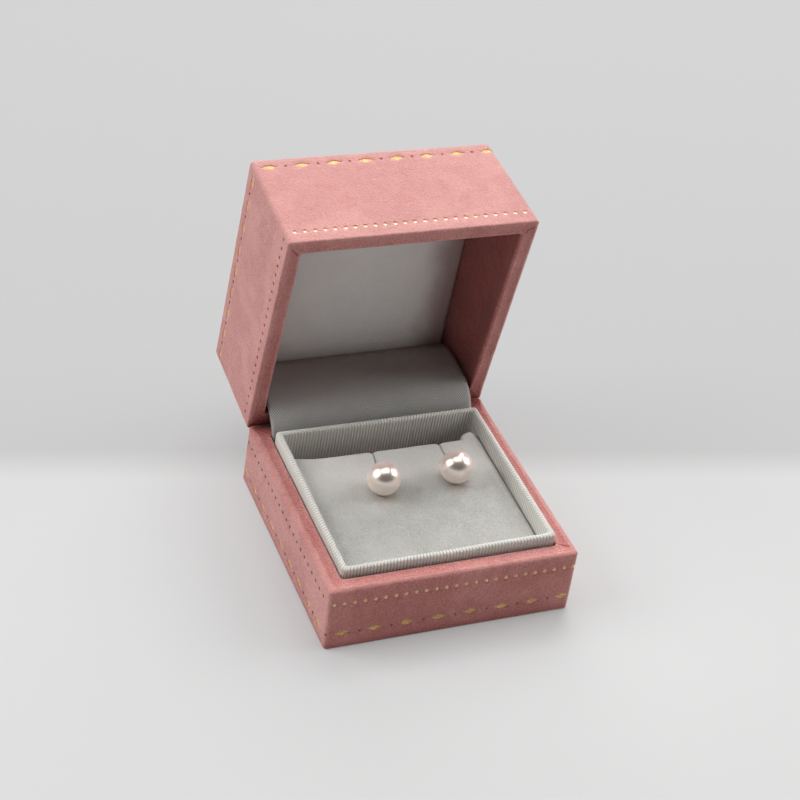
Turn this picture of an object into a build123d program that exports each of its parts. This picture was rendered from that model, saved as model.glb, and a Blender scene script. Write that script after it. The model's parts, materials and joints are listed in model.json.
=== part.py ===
"""Pearl stud earrings in a small hinged box covered in suede.

The box stands open. Its base is a covered tray with a ribbed cloth collar, and
inside the collar lies a soft pad that holds the two studs by their posts. The
lid is a deeper covered shell, lined with a padded panel, and it turns on a pin
along the back edge. A strip of twill covers the hinge from the inside.

Millimetres. X runs across the front, Y to the back, Z up. The origin is on the
underside of the base, below the middle of its top.
"""
from build123d import *
from math import cos, radians, sin
import os

# ---- driving dimensions ----
box_w = 60.0            # base, side to side
base_d = 57.4           # base, front to back along its top
base_h = 15.8
foot_lean = 0.8         # the base's front wall stands out this far at the foot
lid_w = 59.4
lid_h = 28.5            # rim to crown
lid_front = 0.4         # the lid's rim passes the base's front edge by this much
crown_front = 0.6       # and its crown by this much
crown_back = 2.4        # the lid's back wall leans out this far at the crown
open_angle = 82.0       # how far the lid is turned open from shut
rim_gap = 0.2           # between the two rims when the box is shut
edge_r = 1.0            # rounding of the covered edges
rim_inner_r = 0.5

floor_t = 2.4
ledge_w = 4.2           # width of the base's top face, on the sides and front
back_ledge_w = 4.0
lid_wall = 3.6
crown_t = 2.5

collar_w = 51.4
collar_front = 24.3     # its outer front face, ahead of the middle
collar_back = 22.3      # and its outer back face, behind it
collar_wall = 1.8
collar_proud = 2.9      # how far it stands above the base's top face
collar_r = 2.0          # its upright corners
tray_r = 1.0            # the upright corners of the tray's pocket

pad_gap = 0.15          # between the pad and the collar
pad_back = 17.4         # the pad's back edge, clear of the collar
pad_z = 14.6            # its top at the middle of the box
pad_slope = 1.7         # degrees, rising to the back
pad_fold_r = 2.2        # the soft fold along its back edge
slit_w = 0.5
slit_depth = 5.0

pearl_d = 7.7
pearl_gap = 0.1         # pearl over pad
cup_t = 0.35            # the metal cup that the pearl sits in
cup_share = 0.82        # the cup starts this share of a radius below the middle
post_d = 0.8
post_length = 10.5      # from the pearl's underside to the tip
post_hole_d = 1.0

panel_back_depth = 16.6     # the lining panel's face, below the rim, at the hinge
panel_front_depth = 21.2    # and at the far side
panel_r = 1.2

flap_w = 51.2
flap_t = 0.9
flap_tuck = 4.5         # how deep the twill strip goes into its slot
flap_bend_r = 8.0       # its bend over the hinge
flap_bend = 70.0        # and how far it turns there, in degrees
flap_crest_r = 30.0     # the flatter stretch inside the lid
flap_crest = 22.0

pin_d = 0.8
pin_length = 46.0
gap = 0.1               # between pieces that only lie against each other

# Where each stud stands on the pad: the pearl's middle, how far the post's foot
# is set off from below it, and where its slit leaves the pad's back edge.
studs = {
    "left": {"x": -6.1, "y": 2.0, "foot_x": 0.9, "foot_y": 0.5, "slit_x": -3.6},
    "right": {"x": 12.3, "y": 2.5, "foot_x": 0.5, "foot_y": 0.5, "slit_x": 13.4},
}

# ---- worked out ----
back_y = base_d / 2
hinge_z = base_h + rim_gap / 2
turn = radians(open_angle)
collar_top = base_h + collar_proud
pearl_r = pearl_d / 2
inner_w = box_w - 2 * ledge_w

# The lid is drawn shut, in its own plane: x runs from the hinge to the front and
# y from the hinge to the crown. This plane is that one, turned open.
lid_plane = Plane(
    origin=(0, back_y, hinge_z),
    x_dir=(0, -cos(turn), sin(turn)),
    z_dir=(-1, 0, 0),
)
side_plane = Plane.YZ

os.makedirs("parts", exist_ok=True)


def save(builder, name):
    """Label the finished piece and write it as one STEP file."""
    builder.part.label = name
    export_step(builder.part, f"parts/{name}.step")


def pad_height(y):
    """Height of the pad's flat top at a place from front to back."""
    return pad_z + y * sin(radians(pad_slope))


# ---- base_shell: the covered tray ----
with BuildPart() as base_shell:
    with BuildSketch(side_plane):
        with BuildLine():
            Polyline(
                (-back_y - foot_lean, 0),
                (back_y, 0),
                (back_y, base_h),
                (-back_y, base_h),
                close=True,
            )
        make_face()
    extrude(amount=box_w / 2, both=True)
    upright = base_shell.edges().filter_by(lambda e: abs((e @ 1 - e @ 0).Z) > base_h / 2)
    fillet(upright, radius=edge_r)
    fillet(base_shell.faces().sort_by(Axis.Z)[-1].edges(), radius=edge_r)
    fillet(base_shell.faces().sort_by(Axis.Z)[0].edges(), radius=edge_r / 2)
    tray_front = -back_y + ledge_w
    tray_back = back_y - back_ledge_w
    with BuildSketch(Plane.XY.offset(base_h)):
        with Locations((0, (tray_front + tray_back) / 2)):
            RectangleRounded(inner_w, tray_back - tray_front, tray_r)
    extrude(amount=floor_t - base_h, mode=Mode.SUBTRACT)
    mouth = base_shell.faces().filter_by(Axis.Z).sort_by(Axis.Z)[-1].inner_wires()[0].edges()
    fillet(mouth, radius=rim_inner_r)
save(base_shell, "base_shell")

# ---- collar: the ribbed frame that stands in the tray ----
collar_mid = (collar_back - collar_front) / 2
collar_d = collar_back + collar_front
with BuildPart() as collar:
    with BuildSketch(Plane.XY.offset(floor_t + gap)):
        with Locations((0, collar_mid)):
            RectangleRounded(collar_w, collar_d, collar_r)
            RectangleRounded(
                collar_w - 2 * collar_wall,
                collar_d - 2 * collar_wall,
                collar_r - collar_wall / 2,
                mode=Mode.SUBTRACT,
            )
    extrude(amount=collar_top - floor_t - gap)
    fillet(collar.faces().sort_by(Axis.Z)[-1].edges(), radius=collar_wall * 0.42)
save(collar, "collar")


def stud_plane(stud):
    """The stud's own plane: its origin is the pearl's middle and z runs up the post."""
    middle_z = pad_height(stud["y"]) + pearl_r + pearl_gap
    lean = (-stud["foot_x"], -stud["foot_y"], middle_z - pad_height(stud["y"]))
    return Plane(origin=(stud["x"], stud["y"], middle_z), z_dir=lean)


# ---- pad: the soft block that holds the studs ----
pad_front = -collar_front + collar_wall + pad_gap
pad_w = collar_w - 2 * collar_wall - 2 * pad_gap
with BuildPart() as pad:
    with BuildSketch(side_plane) as pad_profile:
        with BuildLine():
            Polyline(
                (pad_front, floor_t + gap),
                (pad_back, floor_t + gap),
                (pad_back, pad_height(pad_back)),
                (pad_front, pad_height(pad_front)),
                close=True,
            )
        make_face()
        top_corners = pad_profile.vertices().sort_by(Axis.Z)[-2:].sort_by(Axis.Y)
        fillet(top_corners[1], radius=pad_fold_r)
        fillet(top_corners[0], radius=edge_r)
    extrude(amount=pad_w / 2, both=True)
    side_faces = pad.faces().filter_by(Axis.X)
    fillet(side_faces.edges().filter_by(lambda e: (e @ 0.5).Z > floor_t + 2 * gap), radius=edge_r)
    for stud in studs.values():
        foot = Vector(stud["x"] + stud["foot_x"], stud["y"] + stud["foot_y"], 0)
        mouth_point = Vector(stud["slit_x"], pad_back + edge_r, 0)
        run = mouth_point - foot
        slit_plane = Plane(
            origin=(foot.X, foot.Y, pad_z - slit_depth),
            x_dir=(run.X, run.Y, 0),
            z_dir=(0, 0, 1),
        )
        with BuildSketch(slit_plane):
            with Locations((run.length / 2, 0)):
                Rectangle(run.length, slit_w)
        extrude(amount=slit_depth + pad_fold_r, mode=Mode.SUBTRACT)
        with BuildSketch(stud_plane(stud)):
            Circle(post_hole_d / 2)
        extrude(amount=-(pearl_r + post_length + 0.5), mode=Mode.SUBTRACT)
        with Locations(stud_plane(stud)):
            Sphere(pearl_r + cup_t + gap, mode=Mode.SUBTRACT)
save(pad, "pad")

# ---- pearl_left, pearl_right, and the cup and post that carries each ----
for side, stud in studs.items():
    with BuildPart() as pearl:
        with Locations(stud_plane(stud)):
            Sphere(pearl_r)
    save(pearl, f"pearl_{side}")

    with BuildPart() as post:
        with Locations(stud_plane(stud)):
            Sphere(pearl_r + cup_t)
        cup_top = stud_plane(stud).offset(-pearl_r * cup_share)
        split(bisect_by=cup_top, keep=Keep.BOTTOM)
        with BuildSketch(stud_plane(stud).offset(-pearl_r)):
            Circle(post_d / 2)
        extrude(amount=-post_length)
        fillet(post.faces().sort_by(Axis.Z)[0].edges(), radius=post_d / 4)
        with Locations(stud_plane(stud)):
            Sphere(pearl_r + 0.03, mode=Mode.SUBTRACT)
    save(post, f"post_{side}")

# ---- lid_shell: the covered lid, standing open ----
rim = rim_gap / 2
lid_d = base_d + lid_front
with BuildPart() as lid_shell:
    with BuildSketch(lid_plane):
        with BuildLine():
            Polyline(
                (0, rim),
                (lid_d, rim),
                (base_d + crown_front, rim + lid_h),
                (-crown_back, rim + lid_h),
                close=True,
            )
        make_face()
    extrude(amount=lid_w / 2, both=True)
    fillet(lid_shell.edges(), radius=edge_r)
    with BuildSketch(lid_plane):
        with BuildLine():
            Polyline(
                (lid_wall, -1),
                (lid_d - lid_wall, -1),
                (lid_d - lid_wall, rim + lid_h - crown_t),
                (lid_wall, rim + lid_h - crown_t),
                close=True,
            )
        make_face()
    extrude(amount=lid_w / 2 - lid_wall, both=True, mode=Mode.SUBTRACT)
    mouth = lid_shell.edges().filter_by(
        lambda e: abs(lid_plane.to_local_coords(e @ 0.5).Y - rim) < 0.01
        and abs((e @ 0.5).X) < lid_w / 2 - lid_wall + 0.1
        and lid_wall - 0.1 < lid_plane.to_local_coords(e @ 0.5).X < lid_d - lid_wall + 0.1
    )
    fillet(mouth, radius=rim_inner_r)
save(lid_shell, "lid_shell")

# ---- lid_panel: the padded lining inside the crown ----
with BuildPart() as lid_panel:
    with BuildSketch(lid_plane):
        with BuildLine():
            Polyline(
                (lid_wall + gap, rim + panel_back_depth),
                (lid_d - lid_wall - gap, rim + panel_front_depth),
                (lid_d - lid_wall - gap, rim + lid_h - crown_t - gap),
                (lid_wall + gap, rim + lid_h - crown_t - gap),
                close=True,
            )
        make_face()
    extrude(amount=lid_w / 2 - lid_wall - gap, both=True)
    face_side = lid_panel.edges().filter_by(
        lambda e: lid_plane.to_local_coords(e @ 0.5).Y < rim + panel_front_depth + 0.1
    )
    fillet(face_side, radius=panel_r)
save(lid_panel, "lid_panel")

# ---- hinge_flap: the twill strip over the hinge, from its slot up to the panel ----
slot_y = (collar_back + tray_back) / 2
slot_foot = Vector(slot_y, base_h - flap_tuck)
slot_mouth = Vector(slot_y + 0.3, base_h - 1.1)
panel_foot = lid_plane.from_local_coords(
    Vector(lid_wall + 1.4, rim + panel_back_depth - 2 * gap, 0)
)
with BuildPart() as hinge_flap:
    with BuildSketch(side_plane):
        with BuildLine() as run:
            tuck = Line(slot_foot, slot_mouth)
            bend = JernArc(slot_mouth, tuck % 1, flap_bend_r, -flap_bend)
            crest = JernArc(bend @ 1, bend % 1, flap_crest_r, -flap_crest)
            Line(crest @ 1, (panel_foot.Y, panel_foot.Z))
        trace(run.line, line_width=flap_t)
    extrude(amount=flap_w / 2, both=True)
save(hinge_flap, "hinge_flap")

# ---- hinge_pin: the wire on the lid's axis ----
with BuildPart() as hinge_pin:
    with BuildSketch(Plane.YZ.offset(-pin_length / 2)):
        with Locations((back_y, hinge_z)):
            Circle(pin_d / 2)
    extrude(amount=pin_length)
    fillet(hinge_pin.edges(), radius=pin_d / 8)
save(hinge_pin, "hinge_pin")
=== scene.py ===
# %% [markdown]
# # Pearl stud earrings in a hinged box
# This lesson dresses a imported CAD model: a small covered box with a ribbed
# collar, a soft pad, a padded lid and two pearl studs. The CAD gives every
# piece its place and size, and Blender gives it its skin. The frame comes
# first, because everything after it is measured from it.

# %% Load the frame
import json
from collections import namedtuple
from math import ceil, cos, exp, pi, radians, sin, sqrt

import bmesh
import bpy
from mathutils import Matrix, Vector, noise
from mathutils.geometry import delaunay_2d_cdt


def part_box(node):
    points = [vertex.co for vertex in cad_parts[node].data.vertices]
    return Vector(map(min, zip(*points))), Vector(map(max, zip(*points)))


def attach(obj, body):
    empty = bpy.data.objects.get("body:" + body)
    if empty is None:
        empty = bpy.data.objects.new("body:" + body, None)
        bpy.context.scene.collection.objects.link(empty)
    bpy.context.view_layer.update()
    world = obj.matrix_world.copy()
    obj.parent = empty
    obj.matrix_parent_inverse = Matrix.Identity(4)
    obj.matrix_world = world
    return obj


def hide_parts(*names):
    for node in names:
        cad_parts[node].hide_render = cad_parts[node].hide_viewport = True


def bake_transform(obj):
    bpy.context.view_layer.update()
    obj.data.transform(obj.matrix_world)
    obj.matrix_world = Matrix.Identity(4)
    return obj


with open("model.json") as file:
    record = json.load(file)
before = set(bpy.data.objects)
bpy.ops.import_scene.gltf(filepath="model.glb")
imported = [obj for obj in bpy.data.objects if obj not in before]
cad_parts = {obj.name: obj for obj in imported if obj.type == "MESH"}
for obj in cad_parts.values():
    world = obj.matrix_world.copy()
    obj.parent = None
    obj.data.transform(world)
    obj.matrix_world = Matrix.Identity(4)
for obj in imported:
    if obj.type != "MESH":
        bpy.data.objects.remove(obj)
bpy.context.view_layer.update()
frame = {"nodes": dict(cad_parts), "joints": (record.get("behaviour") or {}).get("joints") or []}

MM = 0.001              # the box is drawn in millimetres

# %% [markdown]
# ## The camera
# The box is seen from its front left corner and a little above, with the
# camera tipped sideways. Angles describe that better than a position does, so
# the camera walks round the box on a circle, looks at a point inside it, and
# rolls last. A long lens keeps the walls nearly parallel.

# %% Camera
azimuth, elevation, roll = -27.82, 37.18, radians(10.66)
distance = 0.4137
look_at = Vector((-0.00683, 0.0, 0.04264))


def way_out(azimuth_deg, elevation_deg):
    """A direction away from the box, turned from its front and lifted from the table."""
    turn, lift = radians(azimuth_deg), radians(elevation_deg)
    return Vector((sin(turn) * cos(lift), -cos(turn) * cos(lift), sin(lift)))


back = way_out(azimuth, elevation)
level = (-back).cross(Vector((0, 0, 1))).normalized()
upward = level.cross(-back)
right = cos(roll) * level + sin(roll) * upward
top = cos(roll) * upward - sin(roll) * level

camera = bpy.data.objects.new("camera", bpy.data.cameras.new("camera"))
bpy.context.collection.objects.link(camera)
camera.data.lens = 84.49
camera.data.clip_start, camera.data.clip_end = 0.02, 20
camera.matrix_world = Matrix.Translation(look_at + distance * back) @ Matrix(
    (right, top, back)
).transposed().to_4x4()
bpy.context.scene.camera = camera
print("camera at, mm:", [round(v / MM) for v in camera.matrix_world.translation])

# %% [markdown]
# ## Writing shader maths as Python
# A material is a net of nodes, and a net is hard to read as code. One small
# class wraps a node's output, so that a plus sign adds a Math node. A second
# class is the material itself: one method adds any node, and a few more are
# named for the things this box needs.

# %% A wire that does arithmetic
def sign(operation, swapped=False):
    """What an arithmetic sign does with a wire: it adds one Math node."""
    def act(self, other):
        return self.finish.maths(operation, *((other, self) if swapped else (self, other)))
    return act


class Wire:
    """One output of a node. Arithmetic on it adds Math nodes."""

    def __init__(self, finish, socket):
        self.finish, self.socket = finish, socket

    __add__ = __radd__ = sign("ADD")
    __mul__ = __rmul__ = sign("MULTIPLY")
    __sub__, __rsub__, __pow__ = sign("SUBTRACT"), sign("SUBTRACT", swapped=True), sign("POWER")

    def share(self, times=1.0):
        """This times a number, held between 0 and 1."""
        return self.finish.maths("MULTIPLY", self, times, clamp=True)

    def beside(self, output):
        """Another output of the same node."""
        return Wire(self.finish, self.socket.node.outputs[output])


# %% A finish, which is a material being made
class Finish:
    """A material, or a world, whose nodes are added one line at a time."""

    def __init__(self, name, kind=bpy.data.materials):
        self.made = kind.new(name)
        self.made.use_nodes = True
        self.nodes, self.links = self.made.node_tree.nodes, self.made.node_tree.links
        self.nodes.clear()

    def add(self, kind, sockets=None, output=0, **settings):
        """Any node: its sockets' values or wires, the output to go on with, and its settings."""
        node = self.nodes.new("ShaderNode" + kind)
        for key, value in settings.items():
            setattr(node, key, value)
        for key, value in (sockets or {}).items():
            if isinstance(value, Wire):
                self.links.new(value.socket, node.inputs[key])
            else:
                node.inputs[key].default_value = value
        return Wire(self, node.outputs[output]) if node.outputs else None

    def maths(self, operation, *values, clamp=False):
        return self.add("Math", dict(enumerate(values)), operation=operation, use_clamp=clamp)

    def between(self, value, low, high):
        """0 below low, 1 above high, and a soft step in between."""
        return self.add(
            "MapRange", {"Value": value, "From Min": low, "From Max": high},
            interpolation_type="SMOOTHSTEP",
        )

    def blend(self, share, first, second):
        """One colour into another."""
        return self.add("Mix", {0: share, 6: first, 7: second}, output=2, data_type="RGBA")

    def painted(self, colour, *coats):
        """A colour under coats of others. Each coat is the share that it covers and its colour."""
        for share, other in coats:
            colour = self.blend(share, colour, other)
        return colour

    def split(self, where):
        """The x, y and z of a place."""
        x = self.add("SeparateXYZ", {"Vector": where})
        return x, x.beside(1), x.beside(2)

    def millimetres(self, stretch=(1, 1, 1)):
        """The piece's own coordinates, in millimetres."""
        own = self.add("TexCoord", output=3)
        return self.add("Mapping", {"Vector": own, "Scale": [s / MM for s in stretch]})

    def cloud(self, where, size, detail=2.0, rough=0.5, twist=0.0):
        """Noise with lumps of about this size in millimetres, from 0 to 1."""
        return self.add("TexNoise", {
            "Vector": where, "Scale": 1 / size, "Detail": detail, "Roughness": rough,
            "Distortion": twist,
        })

    def mark(self, name):
        """A number stored on the mesh's points."""
        return self.add("Attribute", output=2, attribute_name=name)

    def relief(self, *layers):
        """Bumps on bumps: each layer is a height from 0 to 1 and its size in millimetres."""
        normal = None
        for height, size in layers:
            sockets = {"Height": height, "Distance": size * MM, "Strength": 1.0}
            if normal:
                sockets["Normal"] = normal
            normal = self.add("Bump", sockets)
        return normal

    def finished(self, **sockets):
        """The shader itself and the material's output."""
        names = {key.replace("_", " "): value for key, value in sockets.items()}
        self.add("OutputMaterial", {"Surface": self.add("BsdfPrincipled", names)})
        return self.made


def rgb(red, green, blue):
    return (red, green, blue, 1.0)


# %% [markdown]
# ## Rows of points
# Every piece below is worked out point by point, and so is the table. Points
# come in rows, and a band of four-sided faces joins each row to the next.

# %% Rings and bands of faces
def circle(count):
    """Points evenly round a circle, as (x, y)."""
    return [(cos(2 * pi * k / count), sin(2 * pi * k / count)) for k in range(count)]


def band(first, second, closed=True):
    """Faces between two rows of points; closed joins the rows' ends to their starts."""
    count = len(first)
    return [
        (first[k], first[(k + 1) % count], second[(k + 1) % count], second[k])
        for k in range(count if closed else count - 1)
    ]


def sheet_faces(rows, columns, first=0, closed=False):
    """Faces between all rows of a grid of points, from the grid's first point on."""
    rings = [range(first + row * columns, first + (row + 1) * columns) for row in range(rows)]
    return [face for a, b in zip(rings, rings[1:]) for face in band(a, b, closed)]


# %% [markdown]
# ## The studio
# The table is pale and runs out behind the box into a slightly darker ground.
# A soft line divides them, so the table is one sheet painted in two tones. For
# the camera part of its brightness is its own, which keeps it even, and the
# rest is lit, which keeps the shadow that the box throws.

# %% Table
def stage_table():
    rings, spokes, reach = 24, 64, 4.0          # the reach in metres
    points = [(0.0, 0.0, 0.0)]
    for ring in range(1, rings + 1):
        radius = reach * (ring / rings) ** 2
        points += [(radius * x, radius * y, 0.0) for x, y in circle(spokes)]
    faces = [(0, 1 + k, 1 + (k + 1) % spokes) for k in range(spokes)]
    faces += [face[::-1] for face in sheet_faces(rings, spokes, 1, closed=True)]
    mesh = bpy.data.meshes.new("table")
    mesh.from_pydata(points, [], faces)
    table = bpy.data.objects.new("table", mesh)
    bpy.context.collection.objects.link(table)
    return table


table = stage_table()
print("table:", len(table.data.polygons), "faces")

# %% Table top
table_line = Vector((0.0100, 0.0256))       # a point on the soft line
table_turn = radians(-11.23)                # and the way it runs
table_soft = 0.0053                         # half its width

paint = Finish("table_paint")
spot_x, spot_y, _ = paint.split(paint.add("TexCoord", output=3))
beyond = (spot_y - table_line.y) * cos(table_turn) - (spot_x - table_line.x) * sin(table_turn)
far = paint.add("MapRange", {"Value": beyond, "From Min": -table_soft, "From Max": table_soft})
tone = paint.blend(far, rgb(0.54, 0.54, 0.54), rgb(0.42, 0.42, 0.42))
lit = paint.add("BsdfDiffuse", {"Color": tone})
glow = paint.blend(far, rgb(0.738, 0.738, 0.738), rgb(0.61, 0.61, 0.61))
own = paint.add("Emission", {"Color": glow, "Strength": 1.0})
path = paint.add("LightPath")
seen = paint.maths("MAXIMUM", path, path.beside(3))     # camera and glossy rays
out = paint.maths("SQRT", (spot_x - 0.01) ** 2 + (spot_y + 0.045) ** 2)
# its own share is least under the box, more just outside, and all of it far away
even = 0.22 + 0.43 * paint.between(out, 0.025, 0.11) + 0.35 * paint.between(out, 0.5, 1.5)
surface = paint.add("MixShader", {0: seen * even, 1: lit, 2: own})
paint.add("OutputMaterial", {"Surface": surface})
table.data.materials.append(paint.made)

# %% [markdown]
# ## Light
# Soft panels stand round the box: one over it and a little behind, one on each
# side and one at the back. The pearls show them as bright windows. Nothing
# bright stands in front, which is why the walls that face the camera are darker
# and why each pearl has a dark middle. A faint panel there only fills, and the
# pearls don't mirror it.

# %% Lamps
panel_away = 0.75       # metres from the box


def softbox(name, azimuth_deg, elevation_deg, width, height, strength):
    """A rectangular lamp that looks at the box from a direction."""
    data = bpy.data.lights.new(name, "AREA")
    data.shape, data.size, data.size_y = "RECTANGLE", width, height
    data.energy = strength * width * height * pi
    lamp = bpy.data.objects.new(name, data)
    way = way_out(azimuth_deg, elevation_deg)
    lamp.location = look_at + panel_away * way
    lamp.rotation_mode = "QUATERNION"
    lamp.rotation_quaternion = way.to_track_quat("Z", "Y")
    bpy.context.collection.objects.link(lamp)
    return lamp


softbox("top_panel", 172, 77, 0.72, 0.7, 1.9)
softbox("left_panel", -110, 34, 0.52, 0.44, 5.8)
softbox("right_panel", 90, 32, 0.46, 0.42, 4.5)
softbox("back_panel", 156, 40, 0.6, 0.5, 4.9)
softbox("front_panel", 25, 20, 0.9, 0.6, 0.36).visible_glossy = False

# %% [markdown]
# ## The room
# The room is dim and a little warm. Near the ground the camera and the pearls
# see a pale wall, in the tone of the ground, so there is no hard horizon when
# the box is looked at from the side. That wall lights nothing.

# %% Room
room = Finish("room", bpy.data.worlds)
bpy.context.scene.world = room.made
dim = room.add("Background", {"Color": rgb(1.0, 0.95, 0.90), "Strength": 0.08})
wall = room.add("Background", {"Color": rgb(0.61, 0.61, 0.61), "Strength": 1.0})
height = room.split(room.add("TexCoord"))[2]
seen = path = room.add("LightPath")
for ray in (3, 6):      # glossy and transmission rays
    seen = room.maths("MAXIMUM", seen, path.beside(ray))
low = 1 - room.between(height, 0.18, 0.32)
both = room.add("MixShader", {0: seen * low, 1: dim, 2: wall})
room.add("OutputWorld", {"Surface": both})
bpy.context.scene.view_settings.view_transform = "Standard"


# %% [markdown]
# ## Making meshes from points
# The pieces are drawn in millimetres. One helper turns points and faces into a
# smooth mesh: it welds points that fall on the same place, keeps any numbers
# that belong to them, and makes the piece ride on its body. It also hides the
# plain CAD solid that the piece stands for.

# %% From points to a piece
def piece(name, points, faces, finish, body, stands_for=(), slot=None, cloth=None, **marks):
    """A welded, smooth mesh. cloth gives each point its place on the flat cloth, in
    millimetres, and marks are named numbers for the material. A piece that bends over
    the hinge has no body here."""
    places, kept, where = {}, [], []
    for index, point in enumerate(points):
        key = tuple(round(c, 4) for c in point)
        if key not in places:
            places[key] = len(kept)
            kept.append(index)
        where.append(places[key])
    welded = [list(dict.fromkeys(where[index] for index in face)) for face in faces]
    welded = [corners for corners in welded if len(corners) > 2]
    mesh = bpy.data.meshes.new(name)
    mesh.from_pydata([[c * MM for c in points[i]] for i in kept], [], welded)
    for key, values in marks.items():
        mark = mesh.attributes.new(key, "FLOAT", "POINT")
        mark.data.foreach_set("value", [values[i] for i in kept])
    if cloth:
        layer = mesh.uv_layers.new(name="cloth")
        for loop in mesh.loops:
            layer.data[loop.index].uv = cloth[kept[loop.vertex_index]]
    shaped = bmesh.new()
    shaped.from_mesh(mesh)
    bmesh.ops.recalc_face_normals(shaped, faces=shaped.faces)
    shaped.to_mesh(mesh)
    shaped.free()
    mesh.polygons.foreach_set("use_smooth", [True] * len(mesh.polygons))
    mesh.materials.append(finish)
    made = bpy.data.objects.new(name, mesh)
    bpy.context.collection.objects.link(made)
    if body:
        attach(made, body)
    if stands_for:
        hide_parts(*stands_for)
    spans = [round(max(span) - min(span), 1) for span in zip(*(points[i] for i in kept))]
    print(name, len(welded), "faces, mm:", spans)
    return made


def ripple(x, y, z, size, seed=0.0):
    """Smooth unevenness between -1 and 1 with waves of about this size."""
    return noise.noise(Vector((x / size + seed, y / size - seed, z / size + 2 * seed)))


def ease(value, low, high):
    """0 at low, 1 at high, and a soft step in between."""
    share = min(1.0, max(0.0, (value - low) / (high - low)))
    return share * share * (3 - 2 * share)


def hill(away, half_width):
    """1 at the top of a smooth hill, and almost nothing two half widths away."""
    return exp(-((away / half_width) ** 2))


def rolled(gap, radius):
    """How far a rounded edge has dropped, this far in from its end."""
    return radius - sqrt(max(0.0, radius ** 2 - (radius - gap) ** 2)) if gap < radius else 0.0


# %% [markdown]
# ## Where things are
# The two shells are drawn alike: x runs across, ahead runs from the hinge edge
# to the front, and level climbs the walls. Each shell has its own way of
# putting such a point in the room, because the lid stands open. Both have
# warped a little as they dried, so neither is quite square.

# %% Two frames
(joint,) = frame["joints"]
_, hinge_y, hinge_z = [c / MM for c in joint["pos_m"]]
open_turn = radians(81.83)
base_half, lid_half = 30.0, 29.7            # half the widths
rim_level, crown_level = 0.1, 28.0          # the lid's


def in_base(x, ahead, level):
    if x > 0:
        x += 0.0075 * x * ahead / 57 * (level / 8 - 1)      # the right wall leans out a little
    return (x, hinge_y - ahead, level)


def in_lid(x, ahead, level):
    up, share = level / crown_level, ahead / 58
    flare = 0.65 + 0.7 * share if x > 0 else 0.55 - 0.93 * share
    shrink = 0.5 * up if x > 0 else 0.0
    x = x * (1 + ((1 - up) * flare - shrink) / lid_half) - 0.07     # wider at the rim
    ahead -= 1.1 * (1 - share) - 0.003 * x * share                  # and behind the base
    return (
        x,
        hinge_y - cos(open_turn) * ahead + sin(open_turn) * level,
        hinge_z + sin(open_turn) * ahead + cos(open_turn) * level,
    )


print("hinge at, mm:", round(hinge_y, 2), round(hinge_z, 2))

# %% [markdown]
# ## The covered shells
# Base and lid are board boxes covered in soft suede. The suede wraps all four
# walls in one strip, so the walls are drawn as one strip too, unrolled from a
# seam at the back. Rings of points carry the cover over the rounded edges,
# across the rim and down inside. Lofting rings keeps every edge soft, which a
# bevelled cube doesn't: its corners all come out the same.

# %% The outline of the walls
corner_r = 1.0          # upright corners
seam_x = 1.22           # where the strip starts, on the hinge side
corner_runs = (1, 3, 5, 7)


def round_rect(run, share, half, near, far, radius):
    """A point of a rounded rectangle, in nine runs of sides and corners from the seam round."""
    x, a, b = half - radius, near + radius, far - radius
    if run in corner_runs:
        turn = radians(90 * (share + (run - 1) // 2) - 90)
        cx = x if run < 4 else -x
        ca = a if run in (1, 7) else b
        return cx + radius * cos(turn), ca + radius * sin(turn)
    seam = min(seam_x, x)
    return {
        0: (seam + share * (x - seam), near),
        2: (half, a + share * (b - a)),
        4: (x - share * 2 * x, far),
        6: (-half, b - share * (b - a)),
        8: (-x + share * (x + seam), near),
    }[run]


def spread(low, high, step, fine, fine_end):
    """Places that stand close together at both ends, and about a step apart between them."""
    a, b = low + fine[-1], high - fine_end[-1]
    count = ceil((b - a) / step)
    middle = [a + (b - a) * k / count for k in range(1, count)]
    return [low + f for f in fine] + middle + [high - f for f in reversed(fine_end)]


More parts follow.
